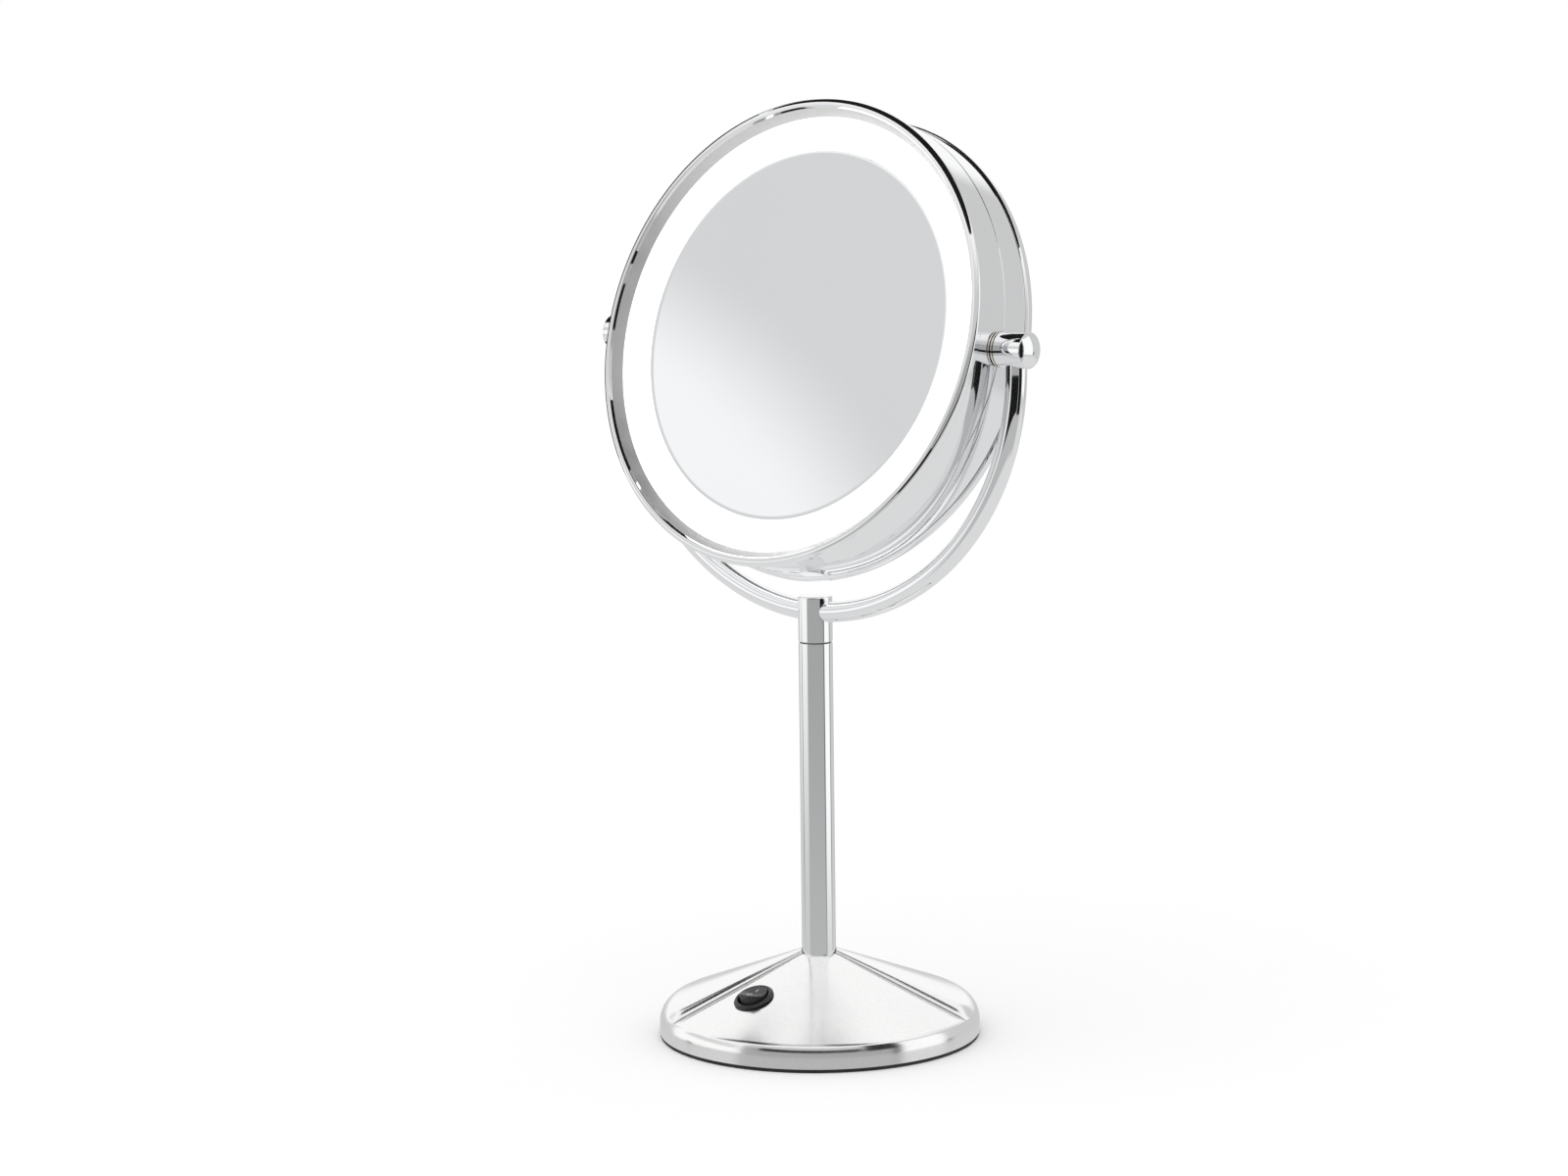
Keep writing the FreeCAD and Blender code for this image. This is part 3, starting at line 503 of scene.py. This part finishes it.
def edgeDrop(distance, ease):
    if distance >= ease:
        return 0.0
    return ease * (1 - math.sqrt(max(0.0, 1 - (1 - distance / ease) ** 2)))


def footRing():
    outline = roundCorners([(60, 0.0), (69.8, 0.0), (69.8, 1.3), (60, 1.3)], [0.3, 0.45, 0.15, 0.15])
    piece = lathe("footRingRubber", outline, standFrame, 192)
    return put(piece, finishes["black_rubber"], "stand", "black_rubber", "foot_ring")


baseShell()
frontPanel()
footRing()
print("base made")


# rocker switch
# the button rocks towards the post and away from it, and rests with its outer end up
rockerFrame = (switchFrame @ Matrix.Rotation(math.pi / 2, 4, "Z") @ Matrix.Translation((0, 0, switch["pivot"] * mm))
               @ Matrix.Rotation(math.radians(switch["throw"]), 4, "Y")
               @ Matrix.Translation((0, 0, -switch["pivot"] * mm)))


def switchHousing():
    wide, bore, body, high = switch["flange"], switch["bore"], switch["body"], switch["height"]
    corners = [(0, -12), (body, -12), (body, 0.06), (wide, 0.06), (wide, 0.6), (body - 0.1, high), (bore, high - 0.2),
               (bore, -10), (0, -10)]
    outline = roundCorners(corners, [0, 0.3, 0, 0.1, 0.45, 0.5, 0.15, 0.2, 0])
    piece = lathe("switchHousingBlack", outline, switchFrame, 96)
    return put(piece, finishes["switch_black"], "stand", "switch_black", "switch_housing")


def rockerTop(x):
    # two slopes that meet in a softened valley
    return switch["valley"] + math.tan(math.radians(switch["slope"])) * (math.sqrt(x * x + 0.5) - 0.5)


def rockerReach(angle, height):
    # how far out the button's side is: a round button whose two ends are curved about its pivot
    lever = height - switch["pivot"]
    end = math.sqrt(max(switch["endRadius"] ** 2 - lever ** 2, 1.0))
    return min(switch["rocker"], end / max(abs(math.cos(angle)), 0.05))


def rockerButton():
    around, ease, foot = 120, 0.35, -3.4
    rings = []
    for k in range(around):
        a = 2 * math.pi * k / around
        edge = rockerReach(a, rockerTop(switch["rocker"] * math.cos(a)))
        column = [(edge * q, rockerTop(edge * q * math.cos(a))) for q in (0.08, 0.2, 0.35, 0.5, 0.65, 0.8, 0.88)]
        rim = rockerTop(edge * math.cos(a))
        for t in range(6):
            turn = math.pi / 2 * t / 5
            column.append((edge - ease * (1 - math.sin(turn)), rim - ease * (1 - math.cos(turn))))
        for t in range(1, 9):
            z = rim - ease + (foot - rim + ease) * t / 8
            column.append((rockerReach(a, z), z))
        rings.append([(r * math.cos(a), r * math.sin(a), z) for r, z in column])
    rows = len(rings[0])
    verts = [(0, 0, rockerTop(0))] + [ring[row] for row in range(rows) for ring in rings]
    faces = [(0, 1 + k, 1 + (k + 1) % around) for k in range(around)]
    for row in range(rows - 1):
        for k in range(around):
            m = (k + 1) % around
            a, b = 1 + row * around, 1 + (row + 1) * around
            faces.append((a + k, b + k, b + m, a + m))
    faces.append(tuple(reversed(range(len(verts) - around, len(verts)))))
    piece = finishMesh("rockerButtonBlack", verts, faces, rockerFrame, 40)
    fixNormals(piece)
    return put(piece, finishes["rocker_grain"], "rocker", "switch_black", "rocker")


marks = {"ringRadius": 1.0, "line": 0.36, "place": 2.3, "barLength": 1.9, "proud": 0.03}
markPaint = plasticLike("whiteMark", (0.75, 0.75, 0.75), 0.4, 0.5, 1200, 0.000004, 0, 0.95)


def rockerMark(name, shape):
    # moulded O and I: thin shapes that follow the slope of the button
    count = 48
    half = marks["line"] / 2
    verts, faces = [], []
    for k in range(count):
        a = 2 * math.pi * k / count
        if shape == "ring":
            pairs = [(-marks["place"] + (marks["ringRadius"] + side) * math.cos(a),
                      (marks["ringRadius"] + side) * math.sin(a)) for side in (half, -half)]
        else:
            along = marks["barLength"] / 2 * max(-1, min(1, 1.6 * math.cos(a)))
            across = half * max(-1, min(1, 1.6 * math.sin(a)))
            pairs = [(marks["place"] + along, across), (marks["place"] + along * 0.05, across * 0.05)]
        for drop in (marks["proud"], -0.1):
            for x, y in pairs:
                verts.append((x, y, rockerTop(x) + drop))
    for k in range(count):
        a, b = 4 * k, 4 * ((k + 1) % count)
        faces += [(a, b, b + 1, a + 1), (a + 2, a + 3, b + 3, b + 2)]
        faces += [(a, a + 2, b + 2, b), (a + 1, b + 1, b + 3, a + 3)]
    piece = finishMesh(name, verts, faces, rockerFrame)
    fixNormals(piece)
    return put(piece, markPaint, "rocker", "switch_black")


switchHousing()
rockerButton()
rockerMark("markOff", "ring")
rockerMark("markOn", "bar")
print("switch made")


# post and yoke
post = {"radius": 7.45, "low": 29.05, "top": 172.9, "headLow": 173.4, "headTop": 193.3, "crown": 0.8}
yoke = {"radius": 108.7, "drop": 8.0, "tube": 4.5, "legTop": 5.1}
cap = {"radius": 7.55, "start": 101.95, "end": 115.5, "dome": 2.0, "collarStart": 100.8, "washerStart": 101.45,
       "bore": 4.3}


def postTube():
    corners = [(6.0, post["low"]), (post["radius"], post["low"]), (post["radius"], post["top"]), (6.0, post["top"])]
    piece = lathe("postTubeChrome", roundCorners(corners, [0, 0.2, 0.25, 0.1], 4), standFrame, 128)
    return put(piece, chrome, "stand", "polished_chrome", "post_tube")


def postHead():
    corners = [(4.1, post["headLow"]), (post["radius"], post["headLow"]), (post["radius"], post["headTop"]),
               (0, post["headTop"]), (0, post["headTop"] - 14), (4.1, post["headTop"] - 14)]
    piece = lathe("postHeadChrome", roundCorners(corners, [0, 0.25, post["crown"], 0, 0, 0]), yokeFrame, 128)
    return put(piece, chrome, "yoke", "polished_chrome", "post_head")


def yokeTube():
    pivotZ = pivotPlace.z / mm
    centreZ = pivotZ - yoke["drop"]
    legTop = pivotZ - yoke["legTop"]
    steps = 180
    path = [Vector((-yoke["radius"], 0, legTop))]
    path += [Vector((yoke["radius"] * math.cos(math.pi * (1 + k / steps)), 0,
                     centreZ + yoke["radius"] * math.sin(math.pi * (1 + k / steps)))) for k in range(steps + 1)]
    path.append(Vector((yoke["radius"], 0, legTop)))
    piece = sweepTube("yokeTubeChrome", path, yoke["tube"], yokeFrame, 48)
    return put(piece, chrome, "yoke", "polished_chrome", "yoke_tube")


pivotFrame = Matrix.Translation(pivotPlace) @ yokeFrame @ Matrix.Rotation(math.pi / 2, 4, "Y")
pivotFrameLeft = Matrix.Translation(pivotPlace) @ yokeFrame @ halfTurnZ @ Matrix.Rotation(math.pi / 2, 4, "Y")


def pivotRing(name, low, high, wide, lowEase, highEase, place):
    corners = [(cap["bore"], low), (wide, low), (wide, high), (cap["bore"], high)]
    return lathe(name, roundCorners(corners, [0, lowEase, highEase, 0]), place, 96)


def pivotParts(side, place):
    corners = [(4.2, cap["start"]), (cap["radius"], cap["start"]), (cap["radius"], cap["end"]), (4.6, cap["end"])]
    barrel = lathe("pivotBarrel" + side, roundCorners(corners, [0, 0.35, 0.3, 0.1]), place, 96)
    put(barrel, chrome, "yoke", "polished_chrome", "pivot_cap_" + side.lower())
    edge, rise = cap["radius"] - 0.35, cap["dome"] - 0.05
    seat = cap["end"] + 0.05
    curve = (edge ** 2 + rise ** 2) / (2 * rise)
    half = math.asin(edge / curve)
    outline = [(curve * math.sin(half * k / 14), seat + rise - curve * (1 - math.cos(half * k / 14)))
               for k in range(15)]
    outline += [(edge - 0.15, seat), (4.4, seat), (4.4, 113.2), (0, 113.2)]
    button = lathe("barrelCover" + side, outline, place, 96)
    put(button, chrome, "yoke", "polished_chrome")
    washer = pivotRing("brassWasher" + side, cap["washerStart"], cap["start"], cap["radius"], 0.2, 0.2, place)
    put(washer, finishes["brass"], "yoke", "brass")
    collar = pivotRing("chromeCollar" + side, cap["collarStart"], cap["washerStart"], cap["radius"] - 0.1, 0.05, 0.15,
                       place)
    put(collar, chrome, "yoke", "polished_chrome")
    return button, washer, collar


postTube()
postHead()
yokeTube()
buttonRight, washerRight, collarRight = pivotParts("Right", pivotFrame)
pivotParts("Left", pivotFrameLeft)
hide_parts("cap_buttons")
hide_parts("brass_washers")
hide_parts("pivot_collars")
print("post and yoke made")


# head
head = {"drum": 100.5, "wall": 1.5, "seam": 0.1, "shellTop": 15.0, "bezel": 101.45, "depth": 20.0, "mirror": 80.4,
        "ring": 94.4, "ringEdge": 14.1, "mirrorEdge": 12.45, "flat": 14.0, "glass": 3.0, "hollow": 700.0,
        "lip": 97.6, "lipLow": 14.2}


def hollowHeight(r):
    centre = head["mirrorEdge"] + math.sqrt(head["hollow"] ** 2 - head["mirror"] ** 2)
    return centre - math.sqrt(head["hollow"] ** 2 - r ** 2)


def drumShell(side, place):
    inner = head["drum"] - head["wall"]
    corners = [(inner, head["seam"]), (head["drum"], head["seam"]), (head["drum"], head["shellTop"]),
               (inner, head["shellTop"]), (inner, 13.0), (96.2, 13.0), (96.2, 11.6), (inner, 11.6)]
    outline = roundCorners(corners, [0, 0.35, 0.2, 0, 0, 0, 0, 0], 5)
    piece = lathe(side + "DrumChrome", outline, place, 256)
    return put(piece, chrome, "head", "polished_chrome", side + "_shell")


def bezelRing(side, place):
    # rounded outer bead, small step at the crown, sloping lip down to the lit ring
    low = head["shellTop"] + 0.15
    top = head["depth"]
    corners = [(head["drum"] - head["wall"] - 0.1, low), (head["drum"] + 0.3, low), (head["bezel"], low + 0.7),
               (head["bezel"], top - 0.9), (head["bezel"] - 1.6, top), (98.3, top), (97.5, top - 1.4),
               (head["ring"], head["ringEdge"] + 0.35), (96.4, head["ringEdge"] + 0.45), (96.4, 13.1), (98.9, 13.1)]
    outline = roundCorners(corners, [0, 0.25, 0.6, 1.6, 1.6, 0.6, 0.5, 0.12, 0, 0, 0], 8)
    piece = lathe(side + "BezelChrome", outline, place, 256)
    inwards = place.inverted()
    put(piece, chrome, "head", "polished_chrome", side + "_bezel")
    # the lip that slopes down to the lit ring is satin
    piece.data.materials.append(finishes["trim"])
    for face in piece.data.polygons:
        middle = inwards @ face.center / mm
        if math.hypot(middle.x, middle.y) < head["lip"] and middle.z > head["lipLow"]:
            face.material_index = 1
    return piece


def mirrorGlass(side, place, hollow):
    height = hollowHeight if hollow else (lambda r: head["flat"])
    edge = head["mirror"]
    steps = 40
    outline = [(edge * k / steps, height(edge * k / steps)) for k in range(steps)]
    outline += [(edge - 0.25, height(edge - 0.25)), (edge - 0.07, height(edge) - 0.07), (edge, height(edge) - 0.3)]
    outline += [(edge, height(edge) - head["glass"])]
    outline += [(edge * k / 8, height(edge * k / 8) - head["glass"]) for k in reversed(range(8))]
    piece = lathe(side + "MirrorGlass", outline, place, 256, 30, False)
    return put(piece, finishes["mirror_glass"], "head", "mirror_glass", side + "_mirror")


def litRing(side, place, innerHeight):
    inner, outer = head["mirror"] + 0.12, 96.0
    rise = (head["ringEdge"] - innerHeight) / (head["ring"] - inner)
    end = innerHeight + rise * (outer - inner)
    corners = [(inner, innerHeight - 2), (outer, end - 2), (outer, end), (inner, innerHeight)]
    piece = lathe(side + "LitRing", roundCorners(corners, [0, 0, 0.1, 0.3], 5), place, 256)
    return put(piece, finishes["frosted_lit"], "head", "frosted_lit", side + "_diffuser")


for side, place in (("front", headFrame), ("rear", headFrame @ halfTurnX)):
    drumShell(side, place)
    bezelRing(side, place)
    mirrorGlass(side, place, side == "front")
    litRing(side, place, head["mirrorEdge"] if side == "front" else head["flat"])
print("head made")


# studio: pale floor, even light, and the grey, white and black panels that the chrome mirrors
floorLook = {"colour": (0.93, 0.93, 0.93), "radius": 12.0}


def makeFloor():
    count = 96
    verts = [(0, 0, 0)]
    verts += [(floorLook["radius"] / mm * math.cos(2 * math.pi * k / count),
               floorLook["radius"] / mm * math.sin(2 * math.pi * k / count), 0) for k in range(count)]
    faces = [(0, 1 + k, 1 + (k + 1) % count) for k in range(count)]
    floor = finishMesh("studioFloor", verts, faces, standFrame)
    material, tree, shader = startMaterial("paleFloor", floorLook["colour"], 0, 0.9)
    shader.inputs["Specular IOR Level"].default_value = 0.0
    shade = tinted(tree, noise(tree, 3, 2), (0.925, 0.925, 0.925), floorLook["colour"])
    tree.links.new(shade, shader.inputs["Base Color"])
    floor.data.materials.append(material)
    floor.visible_glossy = False


studio = {"ambient": 0.97, "ground": 0.62,
          # azimuth from straight ahead (right is positive), elevation, softness of the edges, brightness
          "panels": [
              {"az": (-180, 180), "el": (42, 90), "soft": (1, 10), "value": 0.97},
              {"az": (-180, 180), "el": (-90, -16), "soft": (1, 3), "value": 0.74},
              {"az": (-62, 62), "el": (-34, -6), "soft": (3, 3), "value": 0.5},
              {"az": (-62, 60), "el": (-11.5, 22), "soft": (3, 3), "value": 0.4},
              {"az": (152, 400), "el": (3, 60), "soft": (6, 4), "value": 1.0},
              {"az": (-400, -136), "el": (3, 60), "soft": (6, 4), "value": 1.0},
              {"az": (-128, -58), "el": (-10, 38), "soft": (3, 3), "value": 1.03},
              {"az": (61, 100), "el": (-12.5, 30), "soft": (1.2, 2), "value": 1.05},
              {"az": (53, 58), "el": (-12.5, 30), "soft": (1, 2), "value": 0.1},
              {"az": (103, 108), "el": (-12.5, -6), "soft": (1, 1), "value": 0.12},
              {"az": (-110, -104), "el": (-12.5, -8), "soft": (1, 1), "value": 0.15},
              {"az": (-112, -62), "el": (9, 33), "soft": (2, 1.5), "value": (0.70, 0.975)}],
          # the grey card that the glass sees: its shade changes across a slanting line
          "card": {"slant": 0.17, "middle": -80.0, "start": 19.7, "end": 25.5},
          # black flags close by, which the head and the yoke mirror and the base does not, in millimetres:
          # azimuth, distance from the middle and heights; one behind with a stepped lower edge; one flat overhead
          "flags": [
              {"az": (-42, 28), "distance": 600, "heights": (115, 240)},
              {"az": (31, 56), "distance": 600, "heights": (100, 480)}],
          "backFlag": {"low": [(-10, 130, 395), (-45, 122, 375), (-80, 112, 300), (-97, 106, 230), (-170, 95, 220)],
                       "top": 475},
          "ceiling": {"radius": 225, "height": 560}}


def makeWorld():
    world = bpy.data.worlds.new("studioWorld")
    bpy.context.scene.world = world
    world.use_nodes = True
    tree = world.node_tree
    tree.nodes.clear()

    place = tree.nodes.new("ShaderNodeTexCoord")
    split = tree.nodes.new("ShaderNodeSeparateXYZ")
    tree.links.new(place.outputs["Generated"], split.inputs["Vector"])
    ahead = mathNode(tree, "MULTIPLY", split.outputs["Y"], -1.0)
    azimuth = mathNode(tree, "MULTIPLY", mathNode(tree, "ARCTAN2", split.outputs["X"], ahead), 180 / math.pi)
    elevation = mathNode(tree, "MULTIPLY", mathNode(tree, "ARCSINE", split.outputs["Z"]), 180 / math.pi)

    def window(value, low, high, soft):
        rise = tree.nodes.new("ShaderNodeMapRange")
        rise.interpolation_type = "SMOOTHSTEP"
        rise.inputs["From Min"].default_value = low - soft
        rise.inputs["From Max"].default_value = low + soft
        tree.links.new(value, rise.inputs["Value"])
        fall = tree.nodes.new("ShaderNodeMapRange")
        fall.interpolation_type = "SMOOTHSTEP"
        fall.inputs["From Min"].default_value = high - soft
        fall.inputs["From Max"].default_value = high + soft
        fall.inputs["To Min"].default_value = 1.0
        fall.inputs["To Max"].default_value = 0.0
        tree.links.new(value, fall.inputs["Value"])
        return mathNode(tree, "MULTIPLY", rise.outputs["Result"], fall.outputs["Result"])

    card = studio["card"]
    fromMiddle = mathNode(tree, "SUBTRACT", azimuth, card["middle"])
    across = mathNode(tree, "ADD", elevation, mathNode(tree, "MULTIPLY", fromMiddle, card["slant"]))
    shade = tree.nodes.new("ShaderNodeMapRange")
    shade.interpolation_type = "SMOOTHSTEP"
    shade.inputs["From Min"].default_value = card["start"]
    shade.inputs["From Max"].default_value = card["end"]
    tree.links.new(across, shade.inputs["Value"])

    level = studio["ground"]
    for panel in studio["panels"]:
        azSoft, elSoft = panel["soft"]
        azLow, azHigh = panel["az"]
        if azLow <= -180 and azHigh >= 180:
            azLow, azHigh = -400, 400
        elLow, elHigh = panel["el"]
        if elHigh >= 90:
            elHigh = 400
        if elLow <= -90:
            elLow = -400
        around = window(azimuth, azLow, azHigh, azSoft)
        amount = mathNode(tree, "MULTIPLY", around, window(elevation, elLow, elHigh, elSoft))
        mix = tree.nodes.new("ShaderNodeMix")
        mix.data_type = "FLOAT"
        tree.links.new(amount, mix.inputs["Factor"])
        if isinstance(level, float):
            mix.inputs["A"].default_value = level
        else:
            tree.links.new(level, mix.inputs["A"])
        if isinstance(panel["value"], tuple):
            shade.inputs["To Min"].default_value, shade.inputs["To Max"].default_value = panel["value"]
            tree.links.new(shade.outputs["Result"], mix.inputs["B"])
        else:
            mix.inputs["B"].default_value = panel["value"]
        level = mix.outputs["Result"]
    rays = tree.nodes.new("ShaderNodeLightPath")
    seen = tree.nodes.new("ShaderNodeMix")
    seen.data_type = "FLOAT"
    seen.inputs["A"].default_value = studio["ambient"]
    tree.links.new(rays.outputs["Is Glossy Ray"], seen.inputs["Factor"])
    tree.links.new(level, seen.inputs["B"])
    direct = tree.nodes.new("ShaderNodeMix")
    direct.data_type = "FLOAT"
    direct.inputs["B"].default_value = 1.0
    tree.links.new(rays.outputs["Is Camera Ray"], direct.inputs["Factor"])
    tree.links.new(seen.outputs["Result"], direct.inputs["A"])
    background = tree.nodes.new("ShaderNodeBackground")
    tree.links.new(direct.outputs["Result"], background.inputs["Color"])
    output = tree.nodes.new("ShaderNodeOutputWorld")
    tree.links.new(background.outputs["Background"], output.inputs["Surface"])


lights = {"sun": {"turn": (18, -14), "power": 0.46, "spread": 70}}


def makeFlags():
    black, tree, shader = startMaterial("flagCloth", (0.012, 0.012, 0.012), 0, 1.0)
    shader.inputs["Specular IOR Level"].default_value = 0.0
    cloth = tinted(tree, noise(tree, 40, 2), (0.01, 0.01, 0.01), (0.014, 0.014, 0.014))
    tree.links.new(cloth, shader.inputs["Base Color"])
    cards = []
    for number, flag in enumerate(studio["flags"]):
        low, high = flag["heights"]
        start, end = flag["az"]
        verts = []
        for k in range(25):
            a = math.radians(start + (end - start) * k / 24)
            x, y = flag["distance"] * math.sin(a), -flag["distance"] * math.cos(a)
            verts += [(x, y, low), (x, y, high)]
        faces = [(2 * k, 2 * k + 2, 2 * k + 3, 2 * k + 1) for k in range(24)]
        cards.append(finishMesh("studioFlag%d" % number, verts, faces, standFrame))
    back = studio["backFlag"]
    verts = [(x, y, z) for x, y, low in back["low"] for z in (low, back["top"])]
    faces = [(2 * k, 2 * k + 2, 2 * k + 3, 2 * k + 1) for k in range(len(back["low"]) - 1)]
    cards.append(finishMesh("studioBackFlag", verts, faces, standFrame))
    ceiling = studio["ceiling"]
    reach = ceiling["radius"]
    ring = [(reach * math.cos(math.pi * k / 24), reach * math.sin(math.pi * k / 24), ceiling["height"])
            for k in range(48)]
    cards.append(finishMesh("studioCeiling", ring, [tuple(range(48))], standFrame))
    for card in cards:
        card.data.materials.append(black)
        card.visible_camera = False
        card.visible_diffuse = False
        card.visible_shadow = False
        card.visible_transmission = False


def makeLights():
    look = lights["sun"]
    data = bpy.data.lights.new("softOverhead", "SUN")
    data.energy = look["power"]
    data.angle = math.radians(look["spread"])
    light = bpy.data.objects.new("softOverhead", data)
    bpy.context.scene.collection.objects.link(light)
    light.rotation_euler = (math.radians(look["turn"][0]), math.radians(look["turn"][1]), 0)
    light.visible_glossy = False


makeFloor()
makeWorld()
makeFlags()
makeLights()
bpy.context.scene.view_settings.view_transform = "Standard"
print("studio made")


# camera
view = {"distance": 1.60684, "height": 0.41334, "down": 7.682, "left": 0.477, "roll": -0.702, "lens": 86.24}


def makeCamera():
    data = bpy.data.cameras.new("studioCamera")
    data.sensor_width = 36
    data.lens = view["lens"]
    data.clip_start, data.clip_end = 0.05, 50
    camera = bpy.data.objects.new("studioCamera", data)
    bpy.context.scene.collection.objects.link(camera)
    camera.matrix_world = (Matrix.Translation((0, -view["distance"], view["height"]))
                           @ Matrix.Rotation(math.radians(view["left"]), 4, "Z")
                           @ Matrix.Rotation(math.radians(90 - view["down"]), 4, "X")
                           @ Matrix.Rotation(math.radians(view["roll"]), 4, "Z"))
    bpy.context.scene.camera = camera


makeCamera()
